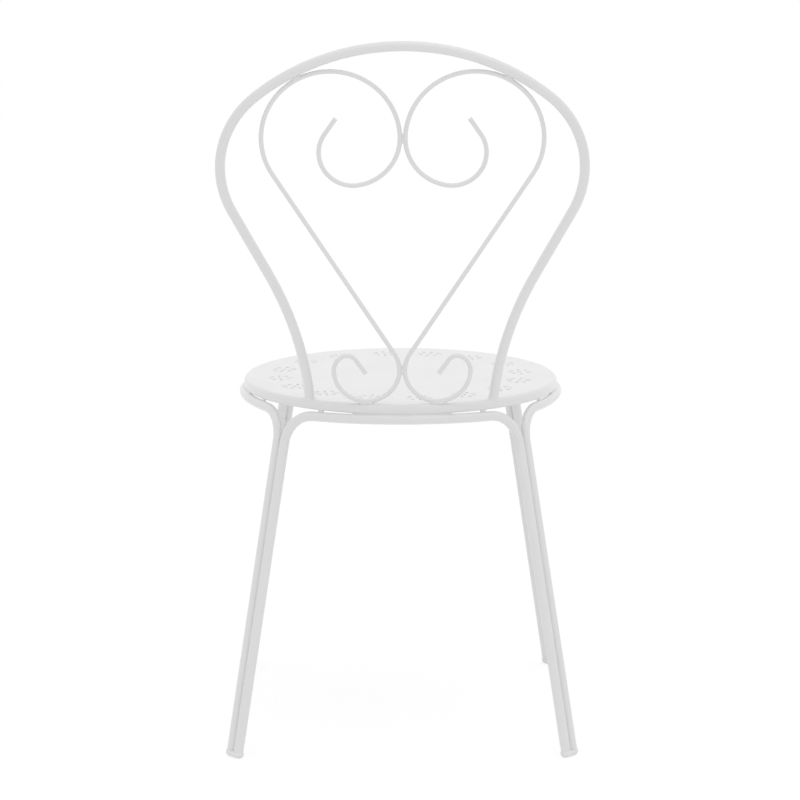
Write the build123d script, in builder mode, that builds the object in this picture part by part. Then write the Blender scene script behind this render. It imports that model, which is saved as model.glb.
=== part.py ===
from build123d import *
from math import acos, asin, atan, cos, hypot, radians, sin, sqrt, tan
import os

os.makedirs("parts", exist_ok=True)

# A welded metal chair with a round pierced seat, a hoop back and two rod scrolls that draw a heart.
# Z is up, the chair faces -Y, and the sitter's left is +X. Sizes are in millimetres and degrees.

# Overall sizes
overall_height = 880.0
seat_height = 438.0
seat_diameter = 395.0
foot_spacing = 412.0
back_width = 440.5
back_lean = 15.0

# Stock that the pieces are bent and pressed from
tube_diameter = 12.0
tube_wall = 1.5
rod_diameter = 5.5
sheet_thickness = 1.5

# Seat pan
rim_depth = 12.0
rim_edge_radius = 5.0
rim_lip_width = 6.0
flower_count = 16
flower_ring_diameter = 306.0
flower_ring_turn = -3.6
flower_eye_diameter = 5.0
petal_count = 8
petal_ring_diameter = 24.6
petal_length = 6.6
petal_width = 3.6

# Leg hoops
leg_bend_radius = 38.0
leg_bend_lead = 1.0
ring_tilt = 3.5
pair_gap = 0.2

# Spacers between the seat rim and the leg hoops
spacer_diameter = 7.0
spacer_height = 0.3
spacer_inset = 2.0
spacer_angle = 30.0

# Foot caps
cap_height = 7.0
cap_flange = 0.8
cap_edge_chamfer = 3.5
stem_length = 14.0
stem_clearance = 0.15

# Back hoop
hoop_base_width = 223.5
hoop_foot_angle = 5.0
hoop_inset = 7.0
hoop_shoulder_radius = 116.8
hoop_crown_angle = 40.0
hoop_straight = 90.5

# Scrolls
upper_curl_radius = 81.0
upper_turn_radius = 57.5
upper_turn_angle = 81.5
upper_eye_radius = 40.0
upper_eye_angle = 133.0
upper_tail = 23.0
lower_bend_radius = 40.0
lower_curl_radius = 39.5
lower_turn_radius = 19.7
lower_turn_angle = 63.0
lower_eye_radius = 12.0
lower_eye_angle = 82.0
lower_tail = 21.5

# Welds: gaps that they fill or sit in, then their sizes
root_gap = 1.0
seat_gap = 0.2
weld_gap = 0.15
hoop_weld_leg = 4.0
scroll_weld_leg = 3.0
scroll_weld_length = 7.0
crown_weld_depth = 2.4
crown_weld_length = 12.0
heart_weld_depth = 2.2
heart_weld_length = 12.0
leg_weld_depth = 4.0
leg_weld_length = 18.0
leg_weld_inset = 40.0

# Heights and radii that follow from the sizes above
seat_radius = seat_diameter / 2
flat_radius = seat_radius - rim_edge_radius
rim_bottom = seat_height - rim_depth
first_flower_angle = 180 / flower_count + flower_ring_turn
tube_radius = tube_diameter / 2
rod_radius = rod_diameter / 2
lean = radians(back_lean)

pieces = {}


def keep(builder, name):
    """Label a finished piece and keep it for writing."""
    builder.part.label = name
    pieces[name] = builder.part


def across(point):
    """The same point on the other side of the chair."""
    return Vector(-point.X, point.Y, point.Z)


def groove_weld(plane, first_radius, second_radius, distance, low, high, length):
    """A weld in the groove between two round pieces, along the plane's normal and as deep as low to high.

    The plane's origin is on the first piece's centre line and its x axis points at the second piece.
    """
    with BuildSketch(plane) as section:
        with Locations((0, low)):
            Rectangle(distance, high - low, align=(Align.MIN, Align.MIN))
        Circle(first_radius + weld_gap, mode=Mode.SUBTRACT)
        with Locations((distance, 0)):
            Circle(second_radius + weld_gap, mode=Mode.SUBTRACT)
    extrude(section.sketch, amount=length / 2, both=True)


# Seat pan: a revolved pressing with a rounded edge, a turned-down wall and a returned lip
with BuildPart() as seat_pan:
    with BuildSketch(Plane.XZ):
        with BuildLine():
            edge_low = seat_height - rim_edge_radius
            wall_radius = seat_radius - sheet_thickness
            underside = seat_height - sheet_thickness
            lip_radius = seat_radius - rim_lip_width
            lip_top = rim_bottom + sheet_thickness
            Line((0, seat_height), (flat_radius, seat_height))
            RadiusArc((flat_radius, seat_height), (seat_radius, edge_low), rim_edge_radius)
            Polyline(
                (seat_radius, edge_low),
                (seat_radius, rim_bottom),
                (lip_radius, rim_bottom),
                (lip_radius, lip_top),
                (wall_radius, lip_top),
                (wall_radius, edge_low),
            )
            RadiusArc((wall_radius, edge_low), (flat_radius, underside), -(rim_edge_radius - sheet_thickness))
            Polyline((flat_radius, underside), (0, underside), (0, seat_height))
        make_face()
    revolve(axis=Axis.Z)
    # Each flower is a round eye and a ring of six-sided petals, one of them pointing outwards
    with BuildSketch(Plane.XY.offset(seat_height)):
        with PolarLocations(flower_ring_diameter / 2, flower_count, start_angle=first_flower_angle):
            Circle(flower_eye_diameter / 2)
            with PolarLocations(petal_ring_diameter / 2, petal_count):
                Polygon(
                    (petal_length / 2, 0),
                    (petal_length / 4, petal_width / 2),
                    (-petal_length / 4, petal_width / 2),
                    (-petal_length / 2, 0),
                    (-petal_length / 4, -petal_width / 2),
                    (petal_length / 4, -petal_width / 2),
                )
    extrude(amount=-2 * sheet_thickness, mode=Mode.SUBTRACT)
keep(seat_pan, "seat_pan")

# The outside of the pan as a full disc, which the welds on the rim are cut to
with BuildPart() as pan_outside:
    with BuildSketch(Plane.XY.offset(rim_bottom)):
        Circle(seat_radius + weld_gap)
    extrude(amount=rim_depth + weld_gap)
    fillet(pan_outside.edges().group_by(Axis.Z)[-1], rim_edge_radius + weld_gap)

# Leg hoop: its middle is a ring that follows the seat rim and sinks from it a little towards the corners,
# where it runs on to a bend and goes down as half a leg
ring_radius = seat_radius
ring_height = rim_bottom - spacer_height - tube_radius
tilt = radians(ring_tilt)
ring_plane = Plane(origin=(0, ring_radius, ring_height), x_dir=(1, 0, 0), z_dir=(0, -sin(tilt), cos(tilt)))
pair_offset = (tube_diameter + pair_gap) / 2
outward = Vector(sin(radians(45)), cos(radians(45)), 0)
along = Vector(-outward.Y, outward.X, 0)
lead_length = leg_bend_radius + leg_bend_lead
corner_reach = hypot(ring_radius, lead_length)
corner_offset = sqrt(2) * pair_offset - ring_radius * (1 - cos(tilt))
corner_angle = acos(corner_offset / (corner_reach * hypot(1, cos(tilt)))) - atan(1 / cos(tilt))
ring_end_angle = corner_angle - atan(lead_length / ring_radius)


def on_ring_plane(reach, angle):
    """A point on the ring's tilted plane, by its distance and angle from the ring's centre."""
    return ring_plane.from_local_coords((reach * sin(angle), reach * cos(angle) - ring_radius, 0))


corner = on_ring_plane(corner_reach, corner_angle)
ring_end = on_ring_plane(ring_radius, ring_end_angle)
foot_centre = outward * (foot_spacing / sqrt(2))
foot = foot_centre + along * pair_offset
down_leg = (foot - corner).normalized()
to_corner = (corner - ring_end).normalized()
bend_reach = leg_bend_radius * tan(radians(to_corner.get_angle(down_leg)) / 2)
bend_high = corner - to_corner * bend_reach
bend_low = corner + down_leg * bend_reach
tube_end = foot - down_leg * cap_height

with BuildPart() as plain_leg_hoop:
    with BuildLine() as leg_path:
        Line(tube_end, bend_low)
        TangentArc(bend_low, bend_high, tangent=-down_leg)
        Line(bend_high, ring_end)
        ThreePointArc(ring_end, (0, ring_radius, ring_height), across(ring_end))
        Line(across(ring_end), across(bend_high))
        TangentArc(across(bend_high), across(bend_low), tangent=across(to_corner))
        Line(across(bend_low), across(tube_end))
    with BuildSketch(Plane(origin=tube_end, z_dir=-down_leg)):
        Circle(tube_radius)
        Circle(tube_radius - tube_wall, mode=Mode.SUBTRACT)
    sweep(path=leg_path.line)

for side, turn in (("rear", 0), ("left", -90), ("front", 180), ("right", 90)):
    with BuildPart() as leg_hoop:
        add(plain_leg_hoop.part, rotation=(0, 0, turn))
    keep(leg_hoop, f"{side}_leg_hoop")

# Spacers: two pads on each leg hoop, saddled on the tube and flat under the rim
with BuildPart() as plain_spacers:
    pad_ring = seat_radius - spacer_inset
    pad_x = pad_ring * sin(radians(spacer_angle))
    pad_y = pad_ring * cos(radians(spacer_angle))
    with BuildSketch(Plane.XY.offset(rim_bottom)):
        with Locations((-pad_x, pad_y), (pad_x, pad_y)):
            Circle(spacer_diameter / 2)
    pad_gap = spacer_height + (ring_radius - pad_y) * tan(tilt)
    extrude(amount=-(pad_gap + tube_radius / 2))
    with Locations(Location(Plane(origin=on_ring_plane(0, 0), z_dir=ring_plane.z_dir))):
        Torus(ring_radius, tube_radius + weld_gap, mode=Mode.SUBTRACT)

for side, turn in (("rear", 0), ("left", -90), ("front", 180), ("right", 90)):
    with BuildPart() as spacers:
        add(plain_spacers.part, rotation=(0, 0, turn))
    keep(spacers, f"{side}_seat_spacers")

# Foot cap: an oval glide with a stem in each tube of the leg, cut flat where it meets the floor
cap_plane = Plane(origin=foot_centre, x_dir=along, z_dir=-down_leg)
with BuildPart() as plain_cap:
    with BuildSketch(cap_plane):
        SlotCenterToCenter(2 * pair_offset, tube_diameter + 2 * cap_flange)
    extrude(amount=cap_height)
    sole = plain_cap.faces().sort_by(Axis(foot_centre, -down_leg))[0]
    chamfer(sole.edges(), cap_edge_chamfer)
    with BuildSketch(cap_plane.offset(cap_height)):
        with Locations((-pair_offset, 0), (pair_offset, 0)):
            Circle(tube_radius - tube_wall - stem_clearance)
    extrude(amount=stem_length)
    split(bisect_by=Plane.XY, keep=Keep.TOP)

# Leg welds: one near the top and one near the bottom of each leg, in the groove on its inner side
with BuildPart() as plain_leg_welds:
    leg_length = (foot - bend_low).length
    for height in (cap_height + leg_weld_inset, leg_length - leg_weld_inset):
        middle = foot_centre - along * pair_offset - down_leg * height
        groove_weld(
            Plane(origin=middle, x_dir=along, z_dir=-down_leg),
            tube_radius,
            tube_radius,
            2 * pair_offset,
            0,
            leg_weld_depth,
            leg_weld_length,
        )

for corner_name, turn in (("rear_left", 0), ("front_left", -90), ("front_right", 180), ("rear_right", 90)):
    with BuildPart() as foot_cap:
        add(plain_cap.part, rotation=(0, 0, turn))
    keep(foot_cap, f"{corner_name}_foot_cap")
    with BuildPart() as leg_welds:
        add(plain_leg_welds.part, rotation=(0, 0, turn))
    keep(leg_welds, f"{corner_name}_leg_welds")

# Back hoop: bent in one leaning plane, a crown arc between two shoulders, then a straight and a counter-bend
# each side down to a foot on the seat rim
hoop_half = (back_width - tube_diameter) / 2
base_half = hoop_base_width / 2
hoop_base_y = sqrt((seat_radius - hoop_inset) ** 2 - base_half**2)
hoop_plane = Plane(origin=(0, hoop_base_y, seat_height), x_dir=(1, 0, 0), z_dir=(0, -cos(lean), sin(lean)))
hoop_top = (overall_height - tube_radius - seat_height) / cos(lean)
crown = radians(hoop_crown_angle)
crown_radius = hoop_shoulder_radius + (hoop_half - hoop_shoulder_radius) / sin(crown)
crown_centre = hoop_top - crown_radius
shoulder_centre = crown_centre + (crown_radius - hoop_shoulder_radius) * cos(crown)
foot_lean = radians(hoop_foot_angle)
shoulder_out = hoop_half - base_half - hoop_shoulder_radius * (1 - cos(foot_lean))
shoulder_rise = shoulder_centre - hoop_shoulder_radius * sin(foot_lean)
along_foot = shoulder_rise * cos(foot_lean) + shoulder_out * sin(foot_lean)
beside_foot = shoulder_out * cos(foot_lean) - shoulder_rise * sin(foot_lean)
foot_bend = 2 * atan(beside_foot / (along_foot + hoop_straight))
foot_bend_angle = foot_bend / radians(1)
foot_bend_radius = (along_foot - hoop_straight * cos(foot_bend)) / sin(foot_bend) - hoop_shoulder_radius
shoulder_angle = 90 + hoop_foot_angle + foot_bend_angle - hoop_crown_angle
hoop_overrun = tube_diameter

with BuildLine(hoop_plane) as hoop_path:
    cut_end = (base_half - hoop_overrun * sin(foot_lean), -hoop_overrun * cos(foot_lean))
    first_end = Line(cut_end, (base_half, 0))
    first_bend = JernArc(first_end @ 1, first_end % 1, foot_bend_radius, -foot_bend_angle)
    first_straight = Line(first_bend @ 1, first_bend @ 1 + first_bend % 1 * hoop_straight)
    first_shoulder = JernArc(first_straight @ 1, first_straight % 1, hoop_shoulder_radius, shoulder_angle)
    crown_arc = JernArc(first_shoulder @ 1, first_shoulder % 1, crown_radius, 2 * hoop_crown_angle)
    second_shoulder = JernArc(crown_arc @ 1, crown_arc % 1, hoop_shoulder_radius, shoulder_angle)
    second_straight = Line(second_shoulder @ 1, second_shoulder @ 1 + second_shoulder % 1 * hoop_straight)
    second_bend = JernArc(second_straight @ 1, second_straight % 1, foot_bend_radius, -foot_bend_angle)
    Line(second_bend @ 1, second_bend @ 1 + second_bend % 1 * hoop_overrun)

with BuildPart() as back_hoop:
    with BuildSketch(Plane(origin=hoop_path.line @ 0, z_dir=hoop_path.line % 0)):
        Circle(tube_radius)
        Circle(tube_radius - tube_wall, mode=Mode.SUBTRACT)
    sweep(path=hoop_path.line)
    split(bisect_by=Plane.XY.offset(seat_height), keep=Keep.TOP)
keep(back_hoop, "back_hoop")

# Scrolls: each rod comes within a weld of its twin at both curls and of the hoop at the crown, and stands
# on the seat rim on its lower curl
rod_line = rod_radius + root_gap / 2
rod_to_tube = rod_radius + tube_radius + root_gap
crown_touch = asin((upper_curl_radius + rod_line) / (crown_radius - rod_to_tube - upper_curl_radius))
touch_rise = crown_centre + (crown_radius - rod_to_tube) * cos(crown_touch)
touch_point = hoop_plane.from_local_coords((0, touch_rise, 0))
scroll_foot_y = sqrt(flat_radius**2 - (rod_line + lower_curl_radius) ** 2)
scroll_foot_x = rod_line + lower_curl_radius
scroll_foot = Vector(0, scroll_foot_y, seat_height + rod_radius + seat_gap)
scroll_up = (touch_point - scroll_foot).normalized()
scroll_plane = Plane(origin=scroll_foot, x_dir=(1, 0, 0), z_dir=Vector(1, 0, 0).cross(scroll_up))
upper_centre = (touch_point - scroll_foot).length - upper_curl_radius * cos(crown_touch)
curl_rise = upper_centre - lower_curl_radius
rise_root = sqrt(curl_rise**2 - 4 * lower_bend_radius * upper_curl_radius)
stem_lean = 2 * atan((curl_rise - rise_root) / (2 * lower_bend_radius))
stem_lean_angle = stem_lean / radians(1)
stem_run = upper_curl_radius * (1 + cos(stem_lean)) - lower_bend_radius * (1 - cos(stem_lean))
stem_straight = stem_run / sin(stem_lean)

with BuildLine(scroll_plane) as scroll_path:
    waist = (rod_line, lower_curl_radius)
    lower_bend = JernArc(waist, (0, 1), lower_bend_radius, -stem_lean_angle)
    stem = Line(lower_bend @ 1, lower_bend @ 1 + lower_bend % 1 * stem_straight)
    upper_curl = JernArc(stem @ 1, stem % 1, upper_curl_radius, 180 + stem_lean_angle)
    upper_turn = JernArc(upper_curl @ 1, upper_curl % 1, upper_turn_radius, upper_turn_angle)
    upper_eye = JernArc(upper_turn @ 1, upper_turn % 1, upper_eye_radius, upper_eye_angle)
    Line(upper_eye @ 1, upper_eye @ 1 + upper_eye % 1 * upper_tail)
    lower_curl = JernArc(waist, (0, -1), lower_curl_radius, 180)
    lower_turn = JernArc(lower_curl @ 1, lower_curl % 1, lower_turn_radius, lower_turn_angle)
    lower_eye = JernArc(lower_turn @ 1, lower_turn % 1, lower_eye_radius, lower_eye_angle)
    tail = Line(lower_eye @ 1, lower_eye @ 1 + lower_eye % 1 * lower_tail)


with BuildPart() as left_scroll:
    with BuildSketch(Plane(origin=tail @ 1, z_dir=-(tail % 1))):
        Circle(rod_radius)
    sweep(path=Wire(scroll_path.edges()))
keep(left_scroll, "left_scroll")
with BuildPart() as right_scroll:
    mirror(left_scroll.part, about=Plane.YZ)
keep(right_scroll, "right_scroll")

# Hoop welds: a fillet round each foot of the hoop, run out over the rounded rim
hoop_up = hoop_plane.y_dir
with BuildPart() as hoop_foot_welds:
    for side in (-1, 1):
        foot_up = Vector(side * sin(foot_lean), 0, 0) + hoop_up * cos(foot_lean)
        weld_base = hoop_plane.from_local_coords((side * base_half, 0, 0)) - foot_up * hoop_weld_leg
        with Locations(Location(Plane(origin=weld_base, z_dir=foot_up))):
            Cone(
                tube_radius + 2 * hoop_weld_leg,
                tube_radius + 2 * weld_gap,
                2 * hoop_weld_leg,
                align=(Align.CENTER, Align.CENTER, Align.MIN),
            )
            Cylinder(tube_radius + weld_gap, 6 * hoop_weld_leg, mode=Mode.SUBTRACT)
    with Locations((0, 0, seat_height)):
        Cylinder(seat_radius, 4 * hoop_weld_leg, mode=Mode.INTERSECT)
    add(pan_outside.part, mode=Mode.SUBTRACT)
keep(hoop_foot_welds, "hoop_foot_welds")

# Scroll welds: under the lower curls on the rim, against the hoop's crown and between the two rods
with BuildPart() as scroll_foot_welds:
    for side in (-1, 1):
        weld_middle = Vector(side * scroll_foot_x, scroll_foot_y, seat_height)
        with BuildSketch(Plane(origin=weld_middle, x_dir=(0, 1, 0), z_dir=(1, 0, 0))):
            Polygon(
                (-rod_radius - scroll_weld_leg, 0),
                (rod_radius + scroll_weld_leg, -rim_edge_radius),
                (rod_radius, rod_radius + seat_gap),
                (-rod_radius, rod_radius + seat_gap),
                align=None,
            )
            with Locations((0, rod_radius + seat_gap)):
                Circle(rod_radius + weld_gap, mode=Mode.SUBTRACT)
        extrude(amount=scroll_weld_length / 2, both=True)
    add(pan_outside.part, mode=Mode.SUBTRACT)
keep(scroll_foot_welds, "scroll_foot_welds")

with BuildPart() as crown_welds:
    for side in (-1, 1):
        to_rod = -(Vector(side * sin(crown_touch), 0, 0) + hoop_up * cos(crown_touch))
        along_crown = Vector(side * cos(crown_touch), 0, 0) - hoop_up * sin(crown_touch)
        tube_middle = hoop_plane.from_local_coords((0, crown_centre, 0)) - to_rod * crown_radius
        groove_weld(
            Plane(origin=tube_middle, x_dir=to_rod, z_dir=along_crown),
            tube_radius,
            rod_radius,
            rod_to_tube,
            -crown_weld_depth,
            crown_weld_depth,
            crown_weld_length,
        )
keep(crown_welds, "crown_welds")

for name, rise in (("upper_heart_weld", upper_centre), ("lower_heart_weld", lower_curl_radius)):
    with BuildPart() as heart_weld:
        rod_middle = scroll_plane.from_local_coords((-rod_line, rise, 0))
        groove_weld(
            Plane(origin=rod_middle, x_dir=(1, 0, 0), z_dir=scroll_up),
            rod_radius,
            rod_radius,
            2 * rod_line,
            -heart_weld_depth,
            heart_weld_depth,
            heart_weld_length,
        )
    keep(heart_weld, name)

# The origin lies on the floor under the middle of the chair's box
boxes = [piece.bounding_box() for piece in pieces.values()]
front_reach = min(box.min.Y for box in boxes)
rear_reach = max(box.max.Y for box in boxes)
to_middle = Location((0, -(front_reach + rear_reach) / 2, 0))
for name, piece in pieces.items():
    placed = piece.moved(to_middle)
    placed.label = name
    export_step(placed, f"parts/{name}.step")
print("seat centre at y", round(to_middle.position.Y, 3))
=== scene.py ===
# %% [markdown]
# # A white cafe chair, from bare frame to finished portrait
#
# The real chair is bent from round steel tube and rod, welded, and baked in a white powder coat.
# The frame that is loaded first already holds every tube and rod at its true size and place.
# This lesson adds what the eye looks for close up: the pressed seat with its ring of flower holes,
# the rippled weld beads, the moulded foot glides and the skin of the coat itself.

# %% Load the fixed frame
import math
from collections import namedtuple

import bmesh
import bpy
import numpy as np
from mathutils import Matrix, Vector


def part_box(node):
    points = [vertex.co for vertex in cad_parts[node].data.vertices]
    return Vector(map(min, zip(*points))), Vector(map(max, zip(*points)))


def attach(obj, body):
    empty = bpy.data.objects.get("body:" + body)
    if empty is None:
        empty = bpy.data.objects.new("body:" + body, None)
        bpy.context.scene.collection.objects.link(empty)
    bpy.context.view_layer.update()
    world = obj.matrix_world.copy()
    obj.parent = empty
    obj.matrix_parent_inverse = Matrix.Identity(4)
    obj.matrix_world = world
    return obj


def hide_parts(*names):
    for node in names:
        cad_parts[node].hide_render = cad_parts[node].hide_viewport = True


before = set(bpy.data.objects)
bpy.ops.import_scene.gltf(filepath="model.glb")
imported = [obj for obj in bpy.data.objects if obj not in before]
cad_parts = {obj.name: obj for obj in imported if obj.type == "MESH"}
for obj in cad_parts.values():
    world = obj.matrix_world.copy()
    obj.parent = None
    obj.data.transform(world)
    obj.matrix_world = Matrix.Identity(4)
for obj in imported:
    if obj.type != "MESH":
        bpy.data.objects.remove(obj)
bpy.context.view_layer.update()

seat_low, seat_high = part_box("seat_pan")
seat_centre = (seat_low + seat_high) / 2
print("nodes in the frame:", len(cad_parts))

# %% [markdown]
# ## The camera
#
# The chair is seen from behind and a little above, through a long lens a few paces away. A long lens
# keeps the legs almost parallel. The camera could be aimed with a Track To constraint, but two named
# angles are easier to read and to change, so the direction is worked out from them. Its place is
# measured from the middle of the seat, where the fit to the photograph began.

# %% Aim the camera
MM = 0.001
scene = bpy.context.scene
scene.view_settings.view_transform = "Standard"

camera_place = Vector((0.0366, seat_centre.y + 3.8241, 1.1545))
camera_pitch = math.radians(11.084)
camera_yaw = math.radians(0.537)
camera_lens_mm = 138.27
sensor_width_mm = 36.0

looking = Vector((
    -math.sin(camera_yaw) * math.cos(camera_pitch),
    -math.cos(camera_yaw) * math.cos(camera_pitch),
    -math.sin(camera_pitch),
))
lens = bpy.data.cameras.new("portrait_camera")
lens.lens = camera_lens_mm
lens.sensor_width = sensor_width_mm
camera = bpy.data.objects.new("portrait_camera", lens)
camera.location = camera_place
camera.rotation_euler = looking.to_track_quat("-Z", "Y").to_euler()
scene.collection.objects.link(camera)
scene.camera = camera
print("camera stands", round(camera_place.length, 2), "m from the chair's foot")

# %% [markdown]
# ## Small helpers for node trees
#
# Shader trees and Geometry Nodes trees are built from the same three moves: add a node, set its
# values, and draw a link. Wrapping them keeps each tree below short enough to read in one go.


# %% Helpers for node trees
def add_node(tree, kind, **settings):
    """Add a node to a tree and set its properties."""
    node = tree.nodes.new(kind)
    for name, value in settings.items():
        setattr(node, name, value)
    return node


def feed(tree, socket, source):
    """Give a socket either a link from another socket or a plain value."""
    if isinstance(source, bpy.types.NodeSocket):
        tree.links.new(source, socket)
    else:
        socket.default_value = source


def calculate(tree, operation, *values):
    """Add a Math node and return its result."""
    node = add_node(tree, "ShaderNodeMath", operation=operation)
    for socket, value in zip(node.inputs, values):
        feed(tree, socket, value)
    return node.outputs[0]


def new_material(name):
    """A material with an empty node tree and its output node."""
    material = bpy.data.materials.new(name)
    material.use_nodes = True
    material.node_tree.nodes.clear()
    output = add_node(material.node_tree, "ShaderNodeOutputMaterial")
    return material, material.node_tree, output


def sees_backdrop(tree):
    """1 for the rays that look straight at the backdrop, by eye, in a reflection or through glass."""
    path = add_node(tree, "ShaderNodeLightPath")
    eye_or_gloss = calculate(tree, "MAXIMUM", path.outputs["Is Camera Ray"], path.outputs["Is Glossy Ray"])
    return calculate(tree, "MAXIMUM", eye_or_gloss, path.outputs["Is Transmission Ray"])


print("node helpers ready")

# %% [markdown]
# ## Light, backdrop and floor
#
# The photograph is a white-on-white product shot: light comes from all round, with more from above, so
# the seat is the brightest surface and the tubes are an even pale grey. A dome of light from the world
# and one wide lamp overhead give just that. The white backdrop isn't made with more light, which would
# bleach the chair. Instead the eye's rays see plain white, while the light that reaches the chair keeps
# its own level. The floor is part glow and part matt paint, so it is white and still takes a soft shadow.

# %% Light the stage
dome_strength = 0.79
lamp_power = 12.0
lamp_size = 3.2
lamp_place = Vector((-0.5, 0.5, 3.4))

world = bpy.data.worlds.new("white_studio")
world.use_nodes = True
scene.world = world
sky = world.node_tree
sky.nodes.clear()
dome = add_node(sky, "ShaderNodeBackground")
dome.inputs["Strength"].default_value = dome_strength
backdrop = add_node(sky, "ShaderNodeBackground")
choose = add_node(sky, "ShaderNodeMixShader")
feed(sky, choose.inputs["Fac"], sees_backdrop(sky))
feed(sky, choose.inputs[1], dome.outputs[0])
feed(sky, choose.inputs[2], backdrop.outputs[0])
for shade in (dome, backdrop):
    shade.inputs["Color"].default_value = (1.0, 1.0, 1.0, 1.0)
feed(sky, add_node(sky, "ShaderNodeOutputWorld").inputs["Surface"], choose.outputs[0])

lamp_data = bpy.data.lights.new("overhead_lamp", "AREA")
lamp_data.energy = lamp_power
lamp_data.size = lamp_size
lamp = bpy.data.objects.new("overhead_lamp", lamp_data)
lamp.location = lamp_place
lamp.rotation_euler = (-lamp_place).to_track_quat("-Z", "Y").to_euler()
scene.collection.objects.link(lamp)
print("dome strength", dome_strength, "and an overhead lamp of", lamp_power, "W")

# %% Lay the floor
floor_radius = 9.0
floor_sides = 96
floor_drop = 0.2 * MM
floor_paint = 0.98
floor_shadow_share = 0.35
floor_glow = 0.72

floor_mesh = bpy.data.meshes.new("floor")
outline = bmesh.new()
bmesh.ops.create_circle(outline, cap_ends=True, segments=floor_sides, radius=floor_radius)
bmesh.ops.translate(outline, verts=outline.verts, vec=(0.0, 0.0, -floor_drop))
outline.to_mesh(floor_mesh)
outline.free()
floor = bpy.data.objects.new("floor", floor_mesh)
scene.collection.objects.link(floor)

floor_material, tree, output = new_material("white_floor")
matt = add_node(tree, "ShaderNodeBsdfDiffuse")
matt.inputs["Color"].default_value = (floor_paint, floor_paint, floor_paint, 1.0)
shadow_catcher = add_node(tree, "ShaderNodeBsdfDiffuse")
shadow_catcher.inputs["Color"].default_value = (floor_shadow_share,) * 3 + (1.0,)
glow = add_node(tree, "ShaderNodeEmission")
glow.inputs["Strength"].default_value = floor_glow
seen = add_node(tree, "ShaderNodeAddShader")
feed(tree, seen.inputs[0], shadow_catcher.outputs[0])
feed(tree, seen.inputs[1], glow.outputs[0])
choose = add_node(tree, "ShaderNodeMixShader")
feed(tree, choose.inputs["Fac"], sees_backdrop(tree))
feed(tree, choose.inputs[1], matt.outputs[0])
feed(tree, choose.inputs[2], seen.outputs[0])
feed(tree, output.inputs["Surface"], choose.outputs[0])
floor_mesh.materials.append(floor_material)
print("floor laid,", 2 * floor_radius, "m across")

# %% [markdown]
# ## The powder coat
#
# Powder is sprayed on dry and melted in an oven. It flows into a satin skin that is never quite smooth:
# there is a fine orange peel about a millimetre across, a slow wander in the film's thickness, and so a
# slight change of gloss and tone. A picture texture could show this, but noise on the object's own
# coordinates runs across every tube and weld with no seams, so one node group makes it for all the
# finishes, and each material gives it sizes of its own. The coat has a clear gloss layer over its
# white, as melted powder has. The plastic of the glides has none.


# %% Build the skin group
wander_low = 0.3
wander_high = 0.7


def build_skin_group():
    """A shader group that turns a plain colour into a sprayed or moulded skin."""
    group = bpy.data.node_groups.new("sprayed_skin", "ShaderNodeTree")
    sockets = group.interface
    sockets.new_socket("Colour", in_out="INPUT", socket_type="NodeSocketColor")
    for name, value in (
        ("Peel Size", 1.2 * MM),
        ("Wander Size", 45.0 * MM),
        ("Tone Change", 0.03),
        ("Smoothest", 0.3),
        ("Roughest", 0.4),
    ):
        sockets.new_socket(name, in_out="INPUT", socket_type="NodeSocketFloat").default_value = value
    sockets.new_socket("Colour", in_out="OUTPUT", socket_type="NodeSocketColor")
    sockets.new_socket("Roughness", in_out="OUTPUT", socket_type="NodeSocketFloat")
    sockets.new_socket("Peel Height", in_out="OUTPUT", socket_type="NodeSocketFloat")
    given = add_node(group, "NodeGroupInput")
    result = add_node(group, "NodeGroupOutput")
    where = add_node(group, "ShaderNodeTexCoord").outputs["Object"]

    def noise(size, detail):
        """Noise whose lumps are about as wide as the given size."""
        texture = add_node(group, "ShaderNodeTexNoise")
        feed(group, texture.inputs["Vector"], where)
        feed(group, texture.inputs["Scale"], calculate(group, "DIVIDE", 1.0, size))
        texture.inputs["Detail"].default_value = detail
        return texture.outputs["Fac"]

    peel = noise(given.outputs["Peel Size"], detail=1.0)
    wander = noise(given.outputs["Wander Size"], detail=3.0)

    darkening = calculate(group, "MULTIPLY", wander, given.outputs["Tone Change"])
    brightness = calculate(group, "SUBTRACT", 1.0, darkening)
    tint = add_node(group, "ShaderNodeVectorMath", operation="SCALE")
    feed(group, tint.inputs[0], given.outputs["Colour"])
    feed(group, tint.inputs["Scale"], brightness)
    feed(group, result.inputs["Colour"], tint.outputs[0])

    gloss = add_node(group, "ShaderNodeMapRange")
    feed(group, gloss.inputs["Value"], wander)
    gloss.inputs["From Min"].default_value = wander_low
    gloss.inputs["From Max"].default_value = wander_high
    feed(group, gloss.inputs["To Min"], given.outputs["Smoothest"])
    feed(group, gloss.inputs["To Max"], given.outputs["Roughest"])
    feed(group, result.inputs["Roughness"], gloss.outputs["Result"])

    feed(group, result.inputs["Peel Height"], peel)
    return group


skin_group = build_skin_group()
print("skin group has", len(skin_group.nodes), "nodes")


# %% Mix the finishes
gloss_layer_roughness = 0.3


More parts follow.
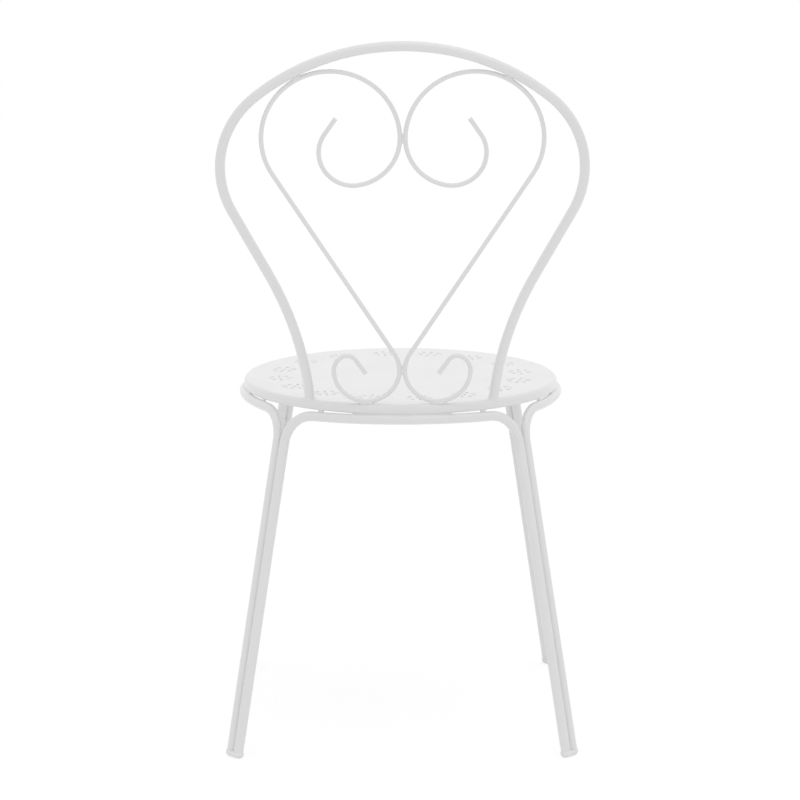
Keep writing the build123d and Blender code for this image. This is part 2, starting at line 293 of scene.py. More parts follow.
def skin_material(name, colour, peel_depth, gloss_layer, **sizes):
    """A finish that wears the skin group, with its own colour and sizes."""
    material, tree, output = new_material(name)
    skin = add_node(tree, "ShaderNodeGroup", node_tree=skin_group)
    skin.inputs["Colour"].default_value = colour + (1.0,)
    for socket, value in sizes.items():
        skin.inputs[socket.replace("_", " ").title()].default_value = value
    surface = add_node(tree, "ShaderNodeBsdfPrincipled")
    surface.inputs["Coat Weight"].default_value = gloss_layer
    surface.inputs["Coat Roughness"].default_value = gloss_layer_roughness
    bump = add_node(tree, "ShaderNodeBump")
    bump.inputs["Distance"].default_value = peel_depth
    bump.inputs["Strength"].default_value = 1.0
    feed(tree, bump.inputs["Height"], skin.outputs["Peel Height"])
    feed(tree, surface.inputs["Base Color"], skin.outputs["Colour"])
    feed(tree, surface.inputs["Roughness"], skin.outputs["Roughness"])
    feed(tree, surface.inputs["Normal"], bump.outputs["Normal"])
    feed(tree, output.inputs["Surface"], surface.outputs[0])
    return material


coat_white = (0.83, 0.83, 0.828)
plastic_white = (0.88, 0.88, 0.875)
powder_coat = skin_material(
    "white_powder_coat", coat_white, peel_depth=0.004 * MM, gloss_layer=1.0
)
weld_coat = skin_material(
    "white_powder_coat_on_welds", coat_white, peel_depth=0.01 * MM, gloss_layer=1.0,
    peel_size=2.0 * MM,
)
glide_plastic = skin_material(
    "white_moulded_plastic", plastic_white, peel_depth=0.012 * MM, gloss_layer=0.0,
    peel_size=0.5 * MM, smoothest=0.5, roughest=0.6,
)
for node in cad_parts.values():
    for slot in node.material_slots:
        slot.material = powder_coat
print("finishes mixed:", powder_coat.name, weld_coat.name, glide_plastic.name)

# %% [markdown]
# ## Running a Geometry Nodes tree
#
# A tree runs on a scrap object that holds its starting points, and its sizes are set by each input's
# identifier before anything is evaluated. The result is copied to a plain mesh and the scrap is thrown
# away, so what is left needs no modifier and can be written to any file.


# %% Helpers for geometry trees
def new_tree(name, sizes):
    """A geometry tree with named float inputs, a material input and its two end nodes."""
    tree = bpy.data.node_groups.new(name, "GeometryNodeTree")
    tree.interface.new_socket("Geometry", in_out="INPUT", socket_type="NodeSocketGeometry")
    for size, value in sizes.items():
        kind = "NodeSocketInt" if isinstance(value, int) else "NodeSocketFloat"
        tree.interface.new_socket(size, in_out="INPUT", socket_type=kind).default_value = value
    tree.interface.new_socket("Finish", in_out="INPUT", socket_type="NodeSocketMaterial")
    tree.interface.new_socket("Geometry", in_out="OUTPUT", socket_type="NodeSocketGeometry")
    start = add_node(tree, "NodeGroupInput")
    end = add_node(tree, "NodeGroupOutput")
    return tree, start.outputs, end.inputs["Geometry"]


def finish_tree(tree, geometry, finish, end):
    """End a tree in Realize Instances and Set Material."""
    real = add_node(tree, "GeometryNodeRealizeInstances")
    feed(tree, real.inputs["Geometry"], geometry)
    coat = add_node(tree, "GeometryNodeSetMaterial")
    feed(tree, coat.inputs["Geometry"], real.outputs["Geometry"])
    feed(tree, coat.inputs["Material"], finish)
    feed(tree, end, coat.outputs["Geometry"])


def run_tree(tree, start_mesh, **sizes):
    """Run a tree on a starting mesh and return the plain mesh that it makes."""
    scrap = bpy.data.objects.new("scrap", start_mesh)
    modifier = scrap.modifiers.new("tree", "NODES")
    modifier.node_group = tree
    for item in tree.interface.items_tree:
        key = item.name.lower().replace(" ", "_")
        if item.in_out == "INPUT" and key in sizes:
            modifier[item.identifier] = sizes[key]
    scene.collection.objects.link(scrap)
    graph = bpy.context.evaluated_depsgraph_get()
    made = bpy.data.meshes.new_from_object(scrap.evaluated_get(graph), depsgraph=graph)
    if made.materials[0] is None:
        made.materials.pop(index=0)
    bpy.data.objects.remove(scrap)
    bpy.data.meshes.remove(start_mesh)
    return made


def keep_piece(name, mesh, slot, *nodes):
    """Show a finished mesh in place of the CAD nodes that it stands for."""
    mesh.name = name
    piece = bpy.data.objects.new(name, mesh)
    scene.collection.objects.link(piece)
    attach(piece, "root")
    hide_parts(*nodes)
    mesh.calc_loop_triangles()
    print(name, "has", len(mesh.loop_triangles), "triangles")
    return piece


print("geometry helpers ready")

# %% [markdown]
# ## The pierced seat
#
# The seat is pressed from one sheet: a flat disc with its edge rolled over and turned under, and a ring of
# sixteen flowers punched through it, each a round eye with eight oval petals. The holes could be cut with
# booleans, one by one, but punching follows a rule, so a tree does it: a petal is placed on a small circle
# to make a flower, the flower is placed on a large circle, and all the outlines are filled as one sheet
# with holes. The sheet is then given its thickness and loses its outer wall, where the rolled rim joins on.

# %% Build the tree that punches the flowers
seat_radius = (seat_high.x - seat_low.x) / 2
sheet_thickness = 1.5 * MM
rim_edge_radius = 5.0 * MM
rim_lip_width = 6.0 * MM
flat_radius = seat_radius - rim_edge_radius
rim_segments = 160

punch_tree, given, end = new_tree("flower_punch", {
    "Flat Radius": flat_radius,
    "Sheet Thickness": sheet_thickness,
    "Rim Segments": rim_segments,
    "Flower Count": 16,
    "Flower Ring Radius": 153.0 * MM,
    "Flower Ring Turn": math.radians(-3.6),
    "Eye Radius": 2.5 * MM,
    "Petal Count": 8,
    "Petal Ring Radius": 12.6 * MM,
    "Petal Length": 7.6 * MM,
    "Petal Width": 3.6 * MM,
    "Petal Points": 14,
})


def circle_outline(points, radius):
    """A round curve."""
    circle = add_node(punch_tree, "GeometryNodeCurvePrimitiveCircle")
    feed(punch_tree, circle.inputs["Resolution"], points)
    feed(punch_tree, circle.inputs["Radius"], radius)
    return circle.outputs["Curve"]


def place_around(shape, count, radius, start_angle):
    """Copies of a shape round a circle, each turned to face outwards."""
    ring = add_node(punch_tree, "GeometryNodeMeshCircle")
    feed(punch_tree, ring.inputs["Vertices"], count)
    feed(punch_tree, ring.inputs["Radius"], radius)
    turn = add_node(punch_tree, "ShaderNodeCombineXYZ")
    feed(punch_tree, turn.inputs["Z"], start_angle)
    turned = add_node(punch_tree, "GeometryNodeTransform")
    feed(punch_tree, turned.inputs["Geometry"], ring.outputs["Mesh"])
    feed(punch_tree, turned.inputs["Rotation"], turn.outputs[0])
    spot = add_node(punch_tree, "ShaderNodeSeparateXYZ")
    feed(punch_tree, spot.inputs[0], add_node(punch_tree, "GeometryNodeInputPosition").outputs[0])
    heading = calculate(punch_tree, "ARCTAN2", spot.outputs["Y"], spot.outputs["X"])
    facing = add_node(punch_tree, "ShaderNodeCombineXYZ")
    feed(punch_tree, facing.inputs["Z"], heading)
    copies = add_node(punch_tree, "GeometryNodeInstanceOnPoints")
    feed(punch_tree, copies.inputs["Points"], turned.outputs["Geometry"])
    feed(punch_tree, copies.inputs["Instance"], shape)
    feed(punch_tree, copies.inputs["Rotation"], facing.outputs[0])
    return copies.outputs["Instances"]


def joined(*shapes):
    """Several shapes as one, with every copy made real."""
    join = add_node(punch_tree, "GeometryNodeJoinGeometry")
    for shape in shapes:
        feed(punch_tree, join.inputs[0], shape)
    real = add_node(punch_tree, "GeometryNodeRealizeInstances")
    feed(punch_tree, real.inputs["Geometry"], join.outputs[0])
    return real.outputs["Geometry"]


oval = add_node(punch_tree, "ShaderNodeCombineXYZ")
feed(punch_tree, oval.inputs["X"], given["Petal Length"])
feed(punch_tree, oval.inputs["Y"], given["Petal Width"])
feed(punch_tree, oval.inputs["Z"], 1.0)
petal = add_node(punch_tree, "GeometryNodeTransform")
feed(punch_tree, petal.inputs["Geometry"], circle_outline(given["Petal Points"], radius=0.5))
feed(punch_tree, petal.inputs["Scale"], oval.outputs[0])
petals = place_around(petal.outputs["Geometry"], given["Petal Count"], given["Petal Ring Radius"], 0.0)
flower = joined(petals, circle_outline(given["Petal Points"], given["Eye Radius"]))
half_step = calculate(punch_tree, "DIVIDE", math.pi, given["Flower Count"])
first_flower = calculate(punch_tree, "ADD", half_step, given["Flower Ring Turn"])
flowers = place_around(flower, given["Flower Count"], given["Flower Ring Radius"], first_flower)
outlines = joined(flowers, circle_outline(given["Rim Segments"], given["Flat Radius"]))
print("punch tree draws its outlines with", len(punch_tree.nodes), "nodes")

# %% Fill the outlines and give the sheet its thickness
outer_wall_share = 0.99
sheet_merge = 0.002 * MM

sheet = add_node(punch_tree, "GeometryNodeFillCurve", mode="NGONS")
feed(punch_tree, sheet.inputs["Curve"], outlines)
underside = add_node(punch_tree, "GeometryNodeFlipFaces")
feed(punch_tree, underside.inputs["Mesh"], sheet.outputs["Mesh"])
rise = add_node(punch_tree, "ShaderNodeCombineXYZ")
feed(punch_tree, rise.inputs["Z"], given["Sheet Thickness"])
thick = add_node(punch_tree, "GeometryNodeExtrudeMesh")
feed(punch_tree, thick.inputs["Mesh"], sheet.outputs["Mesh"])
feed(punch_tree, thick.inputs["Offset"], rise.outputs[0])
feed(punch_tree, thick.inputs["Offset Scale"], 1.0)
feed(punch_tree, thick.inputs["Individual"], False)

spot = add_node(punch_tree, "GeometryNodeInputPosition")
reach = add_node(punch_tree, "ShaderNodeVectorMath", operation="LENGTH")
feed(punch_tree, reach.inputs[0], spot.outputs[0])
rim_start = calculate(punch_tree, "MULTIPLY", given["Flat Radius"], outer_wall_share)
at_rim = calculate(punch_tree, "GREATER_THAN", reach.outputs["Value"], rim_start)
outer_wall = calculate(punch_tree, "MULTIPLY", at_rim, thick.outputs["Side"])
opened = add_node(punch_tree, "GeometryNodeDeleteGeometry", domain="FACE", mode="ONLY_FACE")
feed(punch_tree, opened.inputs["Geometry"], thick.outputs["Mesh"])
feed(punch_tree, opened.inputs["Selection"], outer_wall)
closed = add_node(punch_tree, "GeometryNodeMergeByDistance")
both_faces = joined(underside.outputs["Mesh"], opened.outputs["Geometry"])
feed(punch_tree, closed.inputs["Geometry"], both_faces)
feed(punch_tree, closed.inputs["Distance"], sheet_merge)
finish_tree(punch_tree, closed.outputs["Geometry"], given["Finish"], end)

pierced_sheet = run_tree(punch_tree, bpy.data.meshes.new("empty_start"), finish=powder_coat)
print("pierced sheet has", len(pierced_sheet.polygons), "faces and", len(pierced_sheet.vertices), "points")

# %% [markdown]
# ## The rolled rim
#
# A press rolls the edge of the disc over a round nose, straightens it into a short wall and turns the raw
# edge under into a lip. A rim like this is a lathe form, so its section is drawn once, with every corner
# rounded as bent sheet is, and turned round the seat's centre in as many steps as the sheet's outline has.


# %% Turn the rim and join it to the sheet
rim_fold_radius = 1.6 * MM
point_merge = 0.003 * MM


def corner(centre, radius, start, sweep, steps):
    """Points on a rounded corner of the section, angles in degrees."""
    points = []
    for step in range(steps + 1):
        angle = math.radians(start + sweep * step / steps)
        points.append((centre[0] + radius * math.cos(angle), centre[1] + radius * math.sin(angle)))
    return points


def rim_section(top, bottom):
    """The rim's section as distance from the centre and height, from the sheet's top to its underside."""
    inner_radius = rim_edge_radius - sheet_thickness
    nose = (flat_radius, top - rim_edge_radius)
    inner_fold = rim_fold_radius - sheet_thickness
    fold_centre = (seat_radius - rim_fold_radius, bottom + rim_fold_radius)
    raw_edge = sheet_thickness / 2
    raw_centre = (seat_radius - rim_lip_width + raw_edge, bottom + raw_edge)
    return (
        corner(nose, rim_edge_radius, 90, -90, steps=32)
        + corner(fold_centre, rim_fold_radius, 0, -90, steps=5)
        + corner(raw_centre, raw_edge, 270, -180, steps=6)
        + corner(fold_centre, inner_fold, 270, 90, steps=3)
        + corner(nose, inner_radius, 0, 90, steps=7)
    )


section = rim_section(seat_high.z, seat_low.z)
pan = bmesh.new()
pan.from_mesh(pierced_sheet)
sheet_place = (seat_centre.x, seat_centre.y, seat_high.z - sheet_thickness)
bmesh.ops.translate(pan, verts=pan.verts, vec=sheet_place)
rings = []
for step in range(rim_segments):
    angle = math.tau * step / rim_segments
    ring = []
    for distance, height in section:
        x = seat_centre.x + distance * math.cos(angle)
        y = seat_centre.y + distance * math.sin(angle)
        ring.append(pan.verts.new((x, y, height)))
    rings.append(ring)
for ring, following in zip(rings, rings[1:] + rings[:1]):
    for index in range(len(section) - 1):
        pan.faces.new((ring[index], ring[index + 1], following[index + 1], following[index]))
bmesh.ops.delete(pan, geom=[edge for edge in pan.edges if edge.is_wire], context="EDGES")
bmesh.ops.remove_doubles(pan, verts=pan.verts, dist=point_merge)
bmesh.ops.recalc_face_normals(pan, faces=pan.faces)
open_edges = sum(1 for edge in pan.edges if not edge.is_manifold)
for face in pan.faces:
    face.smooth = True
pan.to_mesh(pierced_sheet)
pan.free()
print("seat edges left open:", open_edges)

# %% Round the punched edges
punched_edge_radius = 0.25 * MM
punched_edge_angle = math.radians(60)
flat_top_weight = 100

seat = keep_piece("pierced_seat", pierced_sheet, "powder_coat", "seat_pan")
rounding = seat.modifiers.new("rounded_punched_edges", "BEVEL")
rounding.width = punched_edge_radius
rounding.segments = 2
rounding.limit_method = "ANGLE"
rounding.angle_limit = punched_edge_angle
flat_shading = seat.modifiers.new("flat_top_shading", "WEIGHTED_NORMAL")
flat_shading.weight = flat_top_weight
print("punched edges rounded to", round(1000 * punched_edge_radius, 2), "mm")

# %% [markdown]
# ## The weld beads
#
# Every joint in the steel is a weld. A welder moves in small steps, and each step leaves a half-moon
# ripple that still shows through the coat. Beads could be rows of squashed balls, but those would leave
# hidden faces inside each other. A tree gives one closed skin instead: it takes the line that the torch
# followed, makes it into a tube, and lets the tube's width swell and fall once for each ripple. Towards
# both ends of the line the tube grows narrow along a quarter round.

# %% Build the bead tree
tip_share = 0.2

bead_tree, given, end = new_tree("weld_bead", {
    "Bead Radius": 1.7 * MM,
    "Ripple Step": 1.5 * MM,
    "Ripple Depth": 0.12,
    "End Taper": 1.0,
    "Points Per Ripple": 6.0,
    "Bead Sides": 14,
})
line = add_node(bead_tree, "GeometryNodeMeshToCurve")
feed(bead_tree, line.inputs["Mesh"], given["Geometry"])
fine = add_node(bead_tree, "GeometryNodeResampleCurve", mode="LENGTH")
feed(bead_tree, fine.inputs["Curve"], line.outputs["Curve"])
point_step = calculate(bead_tree, "DIVIDE", given["Ripple Step"], given["Points Per Ripple"])
feed(bead_tree, fine.inputs["Length"], point_step)

along = add_node(bead_tree, "GeometryNodeSplineParameter").outputs
whole = add_node(bead_tree, "GeometryNodeSplineLength").outputs["Length"]
ripple_count = calculate(bead_tree, "ROUND", calculate(bead_tree, "DIVIDE", whole, given["Ripple Step"]))
ripples_so_far = calculate(bead_tree, "MULTIPLY", along["Factor"], ripple_count)
phase = calculate(bead_tree, "MULTIPLY", ripples_so_far, math.pi)
swell = calculate(bead_tree, "ABSOLUTE", calculate(bead_tree, "SINE", phase))
between_swells = calculate(bead_tree, "SUBTRACT", 1.0, swell)
hollow = calculate(bead_tree, "MULTIPLY", between_swells, given["Ripple Depth"])
rippled = calculate(bead_tree, "SUBTRACT", 1.0, hollow)
width = calculate(bead_tree, "MULTIPLY", rippled, given["Bead Radius"])

to_far_end = calculate(bead_tree, "SUBTRACT", whole, along["Length"])
end_length = calculate(bead_tree, "MULTIPLY", given["Bead Radius"], given["End Taper"])
to_near_end = calculate(bead_tree, "MINIMUM", along["Length"], to_far_end)
to_tip = calculate(bead_tree, "DIVIDE", to_near_end, end_length)
into_taper = calculate(bead_tree, "SUBTRACT", 1.0, calculate(bead_tree, "MINIMUM", to_tip, 1.0))
squared = calculate(bead_tree, "POWER", into_taper, 2.0)
round_end = calculate(bead_tree, "SQRT", calculate(bead_tree, "SUBTRACT", 1.0, squared))
ending = calculate(bead_tree, "MAXIMUM", round_end, tip_share)

bead_section = add_node(bead_tree, "GeometryNodeCurvePrimitiveCircle")
feed(bead_tree, bead_section.inputs["Resolution"], given["Bead Sides"])
feed(bead_tree, bead_section.inputs["Radius"], 1.0)
bead = add_node(bead_tree, "GeometryNodeCurveToMesh")
feed(bead_tree, bead.inputs["Curve"], fine.outputs["Curve"])
feed(bead_tree, bead.inputs["Profile Curve"], bead_section.outputs["Curve"])
feed(bead_tree, bead.inputs["Scale"], calculate(bead_tree, "MULTIPLY", width, ending))
feed(bead_tree, bead.inputs["Fill Caps"], True)
soft = add_node(bead_tree, "GeometryNodeSetShadeSmooth")
feed(bead_tree, soft.inputs["Geometry"], bead.outputs["Mesh"])
finish_tree(bead_tree, soft.outputs["Geometry"], given["Finish"], end)
print("bead tree has", len(bead_tree.nodes), "nodes")

# %% [markdown]
# ## Where the torch went
#
# The frame knows each joint already, because a CAD weld fills every groove. Its points give the middle of
# the joint and, from the directions in which they spread most, the way the groove runs and how deep it is.
# So no place has to be typed in: each bead is laid along the groove that it fills.


# %% Helpers that find the grooves and lay the beads
def points_of(node):
    """All points of a CAD node, in metres."""
    return np.array([vertex.co[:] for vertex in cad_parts[node].data.vertices])


def groove(points):
    """Middle of a groove, its direction, its depth direction and its length."""
    middle = (points.min(axis=0) + points.max(axis=0)) / 2
    spread = np.linalg.svd(points - points.mean(axis=0), full_matrices=False)[2]
    length = np.ptp((points - middle) @ spread[0])
    return Vector(middle), Vector(spread[0]), Vector(spread[1]), float(length)


def straight_line(middle, direction, length):
    """Two points, length apart, about a middle."""
    return [middle - direction * length / 2, middle + direction * length / 2]


def lay_beads(name, lines, nodes, **sizes):
    """Beads along lines of points, shown in place of the CAD welds that they stand for."""
    points = []
    edges = []
    for line in lines:
        first = len(points)
        points += line
        edges += [(first + index, first + index + 1) for index in range(len(line) - 1)]
    torch = bpy.data.meshes.new("torch_line")
    torch.from_pydata(points, edges, [])
    mesh = run_tree(bead_tree, torch, finish=weld_coat, **sizes)
    return keep_piece(name, mesh, "powder_coat", *nodes)


print("bead helpers ready")

# %% [markdown]
# ## Beads in the grooves
#
# The two rods of the heart touch at the top and at the waist, and each rod touches the hoop at the crown.
# There the groove is open on both sides, so it has a bead in front and one behind. Each leg is a pair of
# tubes that is welded on the inner side only, near its top and near its foot, where nobody looks.

# %% Weld the heart, the crown and the legs
heart_bead_radius = 2.3 * MM
heart_bead_depth = 0.5 * MM
crown_bead_radius = 2.6 * MM
crown_bead_depth = 0.8 * MM
crown_bead_taper = 1.8
leg_bead_radius = 2.2 * MM


def beads_both_sides(points, depth):
    """A line in front of a groove and one behind it."""
    middle, direction, outwards, length = groove(points)
    return [straight_line(middle + outwards * side * depth, direction, length) for side in (-1, 1)]


for name in ("upper_heart_weld", "lower_heart_weld"):
    lines = beads_both_sides(points_of(name), heart_bead_depth)
    lay_beads(name.replace("weld", "bead"), lines, [name], bead_radius=heart_bead_radius)

crown = points_of("crown_welds")
crown_lines = []
for half in (crown[crown[:, 0] < 0], crown[crown[:, 0] > 0]):
    crown_lines += beads_both_sides(half, crown_bead_depth)
lay_beads(
    "crown_beads", crown_lines, ["crown_welds"],
    bead_radius=crown_bead_radius, end_taper=crown_bead_taper,
)

leg_up = {}
leg_weld_top = {}
for leg in ("rear_left", "front_left", "front_right", "rear_right"):
    points = points_of(f"{leg}_leg_welds")
    half_height = (points[:, 2].min() + points[:, 2].max()) / 2
    lower = groove(points[points[:, 2] < half_height])
    upper = groove(points[points[:, 2] > half_height])
    leg_up[leg] = (upper[0] - lower[0]).normalized()
    leg_weld_top[leg] = upper[0]
    lines = []
    for middle, direction, _, length in (lower, upper):
        lines.append(straight_line(middle, direction, length))
    lay_beads(f"{leg}_leg_beads", lines, [f"{leg}_leg_welds"], bead_radius=leg_bead_radius)

# %% [markdown]
# ## Coat in the leg seams
#
# The tubes of a leg lie so close that the melted powder bridges the seam between them. Without it the seam
# is a black line, because no light reaches its bottom. The same tree lays the bridge, with no ripples and
# with points far apart, along the middle of each leg on its outer and its inner side. The middle comes from
# the foot cap, which is centred on the two tubes.

# %% Bridge the leg seams
glide_height = 7.0 * MM
stem_length = 14.0 * MM
seam_radius = 1.2 * MM
seam_depth = 1.5 * MM
seam_above_weld = 38.0 * MM
smooth_step = 12.0 * MM

LegFrame = namedtuple("LegFrame", "up pair outwards base half_length half_width")


def leg_frame(leg):
    """Directions up, along the pair and outwards, the middle of the cap's base and its half widths."""
    points = points_of(f"{leg}_foot_cap")
    up = leg_up[leg]
    from_centre = Vector((points[:, 0].mean(), points[:, 1].mean() - seat_centre.y, 0.0)).normalized()
    pair = from_centre.cross(up).normalized()
    outwards = up.cross(pair)
    middle = Vector()
    half_sizes = []
    for direction in (pair, outwards):
        along_it = points @ np.array(direction)
        low = float(along_it.min())
        high = float(along_it.max())
        middle += direction * ((low + high) / 2)
        half_sizes.append((high - low) / 2)
    stem_top = float((points @ np.array(up)).max())
    base = middle + up * (stem_top - stem_length - glide_height)
    return LegFrame(up, pair, outwards, base, *half_sizes)


for leg in leg_up:
    place = leg_frame(leg)
    bottom = glide_height - seam_radius
    top = (leg_weld_top[leg] - place.base).dot(place.up) + seam_above_weld
    middle = place.base + place.up * (bottom + top) / 2
    seams = []
    for side in (-1, 1):
        offset = place.outwards * side * seam_depth
        seams.append(straight_line(middle + offset, place.up, top - bottom))
    lay_beads(
        f"{leg}_leg_seams", seams, [],
        bead_radius=seam_radius, ripple_step=smooth_step, ripple_depth=0.0,
    )

# %% [markdown]
# ## Welds on the seat rim
#
# The hoop stands on the rim, half on the flat and half over the rounded edge. There the weld metal has run
# up the tube and down over the edge, so the foot flares into the rim like a skirt. A bead would look like a
# ring laid round the tube, so the skirt has a hollow section, turned round the foot, whose lower edge
# follows the seat. The scrolls only touch the rim with the bottom of their lower curls, so each has a bead
# behind the rod that runs over the edge, and a smaller one in front, both with long thin ends.

# %% Weld the hoop to the seat
tube_radius = 6.0 * MM
back_lean = math.radians(15)
foot_lean = math.radians(5)
skirt_height = 6.5 * MM
skirt_width = 3.0 * MM
skirt_inner_extra = 0.25
skirt_overhang = 0.8 * MM
skirt_bury = 0.4 * MM
skirt_inset = 0.3 * MM
skirt_hidden_share = 0.9
skirt_ripple = 0.1
skirt_ripples = 20
skirt_steps = 120
skirt_rows = 8
same_level = 0.02 * MM


def seat_surface(x, y):
    """Height of the seat's top, which rounds off beyond its flat."""
    beyond = math.hypot(x - seat_centre.x, y - seat_centre.y) - flat_radius
    beyond = min(max(beyond, 0.0), rim_edge_radius)
    return seat_high.z - rim_edge_radius + math.sqrt(rim_edge_radius**2 - beyond**2)


def lowest_middle(points, side):
    """Middle of a piece's lowest points on one side of the chair."""
    half = points[points[:, 0] * side > 0]
    lowest = half[half[:, 2] < half[:, 2].min() + same_level]
    return Vector((lowest.min(axis=0) + lowest.max(axis=0)) / 2)


def skirt_section(foot, up, angle, side):
    """The skirt's section at one angle round the foot, from the tube to the seat and back inside."""
    outwards = Vector((math.cos(angle), math.sin(angle), 0.0))
    ripple = 1 - skirt_ripple * abs(math.sin(skirt_ripples * angle / 2))
    inner = 1 - skirt_inner_extra * side * math.cos(angle)
    points = []
    for row in range(skirt_rows + 1):
        part = row / skirt_rows
        rise = skirt_height * (1 - part) ** 2
        reach = tube_radius - skirt_inset + (skirt_width * ripple * inner + skirt_inset) * part**2
        spot = foot + up * rise + outwards * reach
        from_axis = Vector((spot.x - seat_centre.x, spot.y - seat_centre.y, 0.0))
        allowed = skirt_overhang - (skirt_overhang + skirt_bury) * part
        too_far = from_axis.length - seat_radius - allowed
        if too_far > 0:
            spot -= from_axis.normalized() * too_far
        sink = seat_high.z - seat_surface(spot.x, spot.y)
        spot.z -= (sink + skirt_bury) * part
        points.append(spot)
    hidden = tube_radius / 2
    points.append(foot + outwards * hidden - Vector((0.0, 0.0, skirt_inset)))
    points.append(foot + up * skirt_height * skirt_hidden_share + outwards * hidden)
    return points


skirts = bmesh.new()
for side in (-1, 1):
    foot = lowest_middle(points_of("back_hoop"), side)
    up = Vector((
        side * math.sin(foot_lean),
        math.cos(foot_lean) * math.sin(back_lean),
        math.cos(foot_lean) * math.cos(back_lean),
    ))
    rings = []
    for step in range(skirt_steps):
        section = skirt_section(foot, up, math.tau * step / skirt_steps, side)
        rings.append([skirts.verts.new(spot) for spot in section])
    for ring, following in zip(rings, rings[1:] + rings[:1]):
        for index in range(len(ring)):
            next_index = (index + 1) % len(ring)
            skirts.faces.new((ring[index], ring[next_index], following[next_index], following[index]))
bmesh.ops.recalc_face_normals(skirts, faces=skirts.faces)
for face in skirts.faces:
    face.smooth = True
skirt_mesh = bpy.data.meshes.new("hoop_foot_skirts")
skirts.to_mesh(skirt_mesh)
skirts.free()
skirt_mesh.materials.append(weld_coat)
keep_piece("hoop_foot_skirts", skirt_mesh, "powder_coat", "hoop_foot_welds")

# %% Weld the scrolls to the seat
scroll_bead_radius = 3.0 * MM
scroll_bead_length = 17.0 * MM
scroll_bead_taper = 2.4
scroll_bead_rise = 1.0 * MM
behind_offset = 1.2 * MM
front_offset = -1.8 * MM
front_share = 0.8
sideways = Vector((1.0, 0.0, 0.0))

scroll_lines = []
for side, node in ((-1, "right_scroll"), (1, "left_scroll")):
    touch = lowest_middle(points_of(node), side)
    for offset, share in ((behind_offset, 1.0), (front_offset, front_share)):
        y = touch.y + offset
        middle = Vector((touch.x, y, seat_surface(touch.x, y) + scroll_bead_rise))
        scroll_lines.append(straight_line(middle, sideways, scroll_bead_length * share))
lay_beads(
    "scroll_foot_beads", scroll_lines, ["scroll_foot_welds"],
    bead_radius=scroll_bead_radius, end_taper=scroll_bead_taper,
)

# %% [markdown]
# ## Tacks under the rim
#
# Each leg hoop bends along under the rim and is held to it by two short tacks. They fill the seam from
# outside, so the dark line under the seat breaks where a tack crosses it. Between the tacks the hoop comes
# within a millimetre of the rim, and there the melted powder has bridged the seam as it has on the legs.

# %% Tack the leg hoops to the rim
tack_radius = 1.7 * MM
tack_length = 8.0 * MM
tack_reach = -1.2 * MM
tack_drop = 1.0 * MM
straight_up = Vector((0.0, 0.0, 1.0))
rim_bottom = Vector((seat_centre.x, seat_centre.y, seat_low.z))

for hoop in ("rear", "left", "front", "right"):
    points = points_of(f"{hoop}_seat_spacers")
    spread_axis = 0 if np.ptp(points[:, 0]) > np.ptp(points[:, 1]) else 1
    halfway = (points[:, spread_axis].min() + points[:, spread_axis].max()) / 2
    tack_lines = []
    for half in (points[points[:, spread_axis] < halfway], points[points[:, spread_axis] > halfway]):
        outwards = Vector(half.mean(axis=0)) - rim_bottom
        outwards.z = 0.0
        outwards.normalize()
        middle = rim_bottom - straight_up * tack_drop + outwards * (seat_radius + tack_reach)
        tack_lines.append(straight_line(middle, outwards.cross(straight_up), tack_length))
    lay_beads(f"{hoop}_seat_tacks", tack_lines, [f"{hoop}_seat_spacers"], bead_radius=tack_radius)

# %% Bridge the seams under the rim
bridge_radius = 0.8 * MM
bridge_taper = 12.0
bridge_inset = 0.7 * MM
bridge_half_angle = math.radians(18)
bridge_steps = 48
hoop_gap = 0.3 * MM
hoop_tilt = math.radians(3.5)
bridge_ring = seat_radius - bridge_inset

for quarter, hoop in enumerate(("left", "rear", "right", "front")):
    line = []
    for step in range(bridge_steps + 1):
        off_middle = bridge_half_angle * (2 * step / bridge_steps - 1)
        angle = math.pi / 2 * quarter + off_middle
        gap = hoop_gap + seat_radius * (1 - math.cos(off_middle)) * math.tan(hoop_tilt)
        line.append(Vector((
            seat_centre.x + bridge_ring * math.cos(angle),
            seat_centre.y + bridge_ring * math.sin(angle),
            seat_low.z - gap / 2,
        )))
    lay_beads(
        f"{hoop}_rim_bridge", [line], [],
        bead_radius=bridge_radius, end_taper=bridge_taper, ripple_step=smooth_step, ripple_depth=0.0,
    )

# %% [markdown]
# ## The foot glides
#
# Each leg ends in an oval cap of moulded plastic that takes both tubes and keeps the steel off the floor.
# It leans with the leg, but its sole is worn to the floor. A subdivided cube would need many holding edges
# to stay oval, so the cap is a stack of oval loops along the leg, drawn in towards the sole along a quarter
# round, and the floor plane then cuts it level.

# %% Mould the glides
glide_edge = 0.6 * MM
sole_round = 4.6 * MM
sole_steps = 7
edge_steps = 4
oval_points = 14
glide_sharp_angle = math.radians(40)


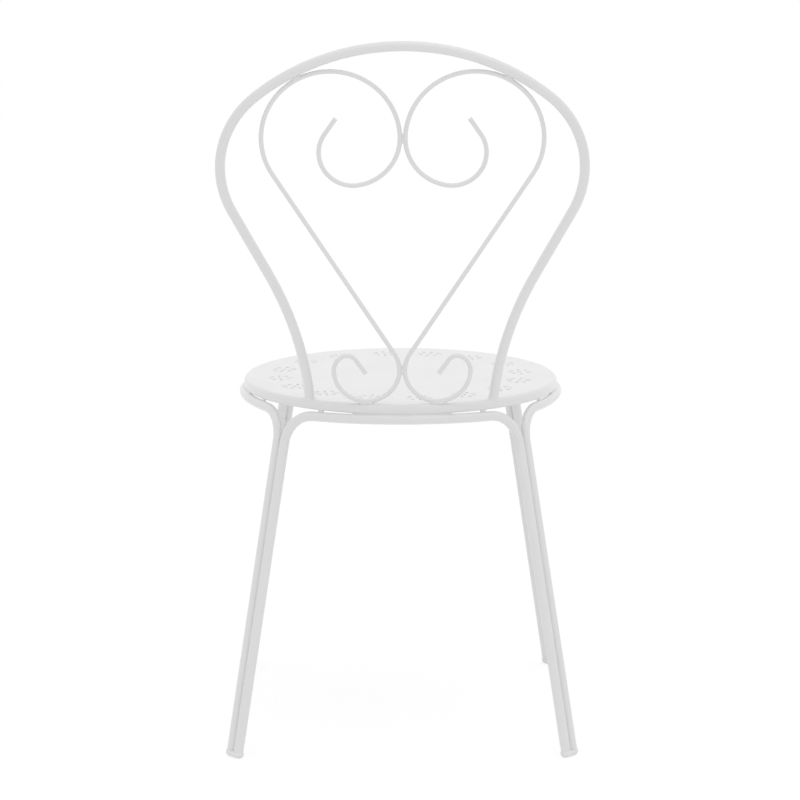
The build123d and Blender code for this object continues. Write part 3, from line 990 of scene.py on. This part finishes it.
def oval_loop(half_straight, radius):
    """A slot outline: two half circles joined by straights."""
    loop = []
    for end_sign, start in ((1, -90), (-1, 90)):
        for step in range(oval_points + 1):
            angle = math.radians(start + 180 * step / oval_points)
            loop.append((end_sign * half_straight + radius * math.cos(angle), radius * math.sin(angle)))
    return loop


def glide_levels():
    """Height along the leg and inset of each loop, from the sole to the top edge and in to the tubes."""
    levels = []
    for step in range(sole_steps + 1):
        angle = math.radians(90 * step / sole_steps)
        levels.append((sole_round * (1 - math.cos(angle)), sole_round * (1 - math.sin(angle))))
    for step in range(edge_steps + 1):
        angle = math.radians(90 * step / edge_steps)
        height = glide_height - glide_edge * (1 - math.sin(angle))
        levels.append((height, glide_edge * (1 - math.cos(angle))))
    return levels


def mould_glide(leg):
    """The cap of one leg, in the place of its CAD cap."""
    place = leg_frame(leg)
    cap = bmesh.new()
    loops = []
    for height, inset in glide_levels():
        loop = []
        for x, y in oval_loop(place.half_length - place.half_width, place.half_width - inset):
            spot = place.base + place.pair * x + place.outwards * y + place.up * height
            loop.append(cap.verts.new(spot))
        loops.append(loop)
    for lower, upper in zip(loops, loops[1:]):
        for index in range(len(lower)):
            following = (index + 1) % len(lower)
            cap.faces.new((lower[index], lower[following], upper[following], upper[index]))
    cap.faces.new(loops[0])
    cap.faces.new(loops[-1])
    whole_cap = cap.verts[:] + cap.edges[:] + cap.faces[:]
    bmesh.ops.bisect_plane(
        cap, geom=whole_cap, plane_co=(0, 0, 0), plane_no=(0, 0, -1), clear_outer=True
    )
    open_rim = [edge for edge in cap.edges if edge.is_boundary]
    bmesh.ops.contextual_create(cap, geom=open_rim)
    bmesh.ops.remove_doubles(cap, verts=cap.verts, dist=point_merge)
    bmesh.ops.recalc_face_normals(cap, faces=cap.faces)
    for face in cap.faces:
        face.smooth = True
    mesh = bpy.data.meshes.new(f"{leg}_glide")
    cap.to_mesh(mesh)
    cap.free()
    mesh.set_sharp_from_angle(angle=glide_sharp_angle)
    mesh.materials.append(glide_plastic)
    return keep_piece(f"{leg}_glide", mesh, "glide_plastic", f"{leg}_foot_cap")


for leg in leg_up:
    mould_glide(leg)
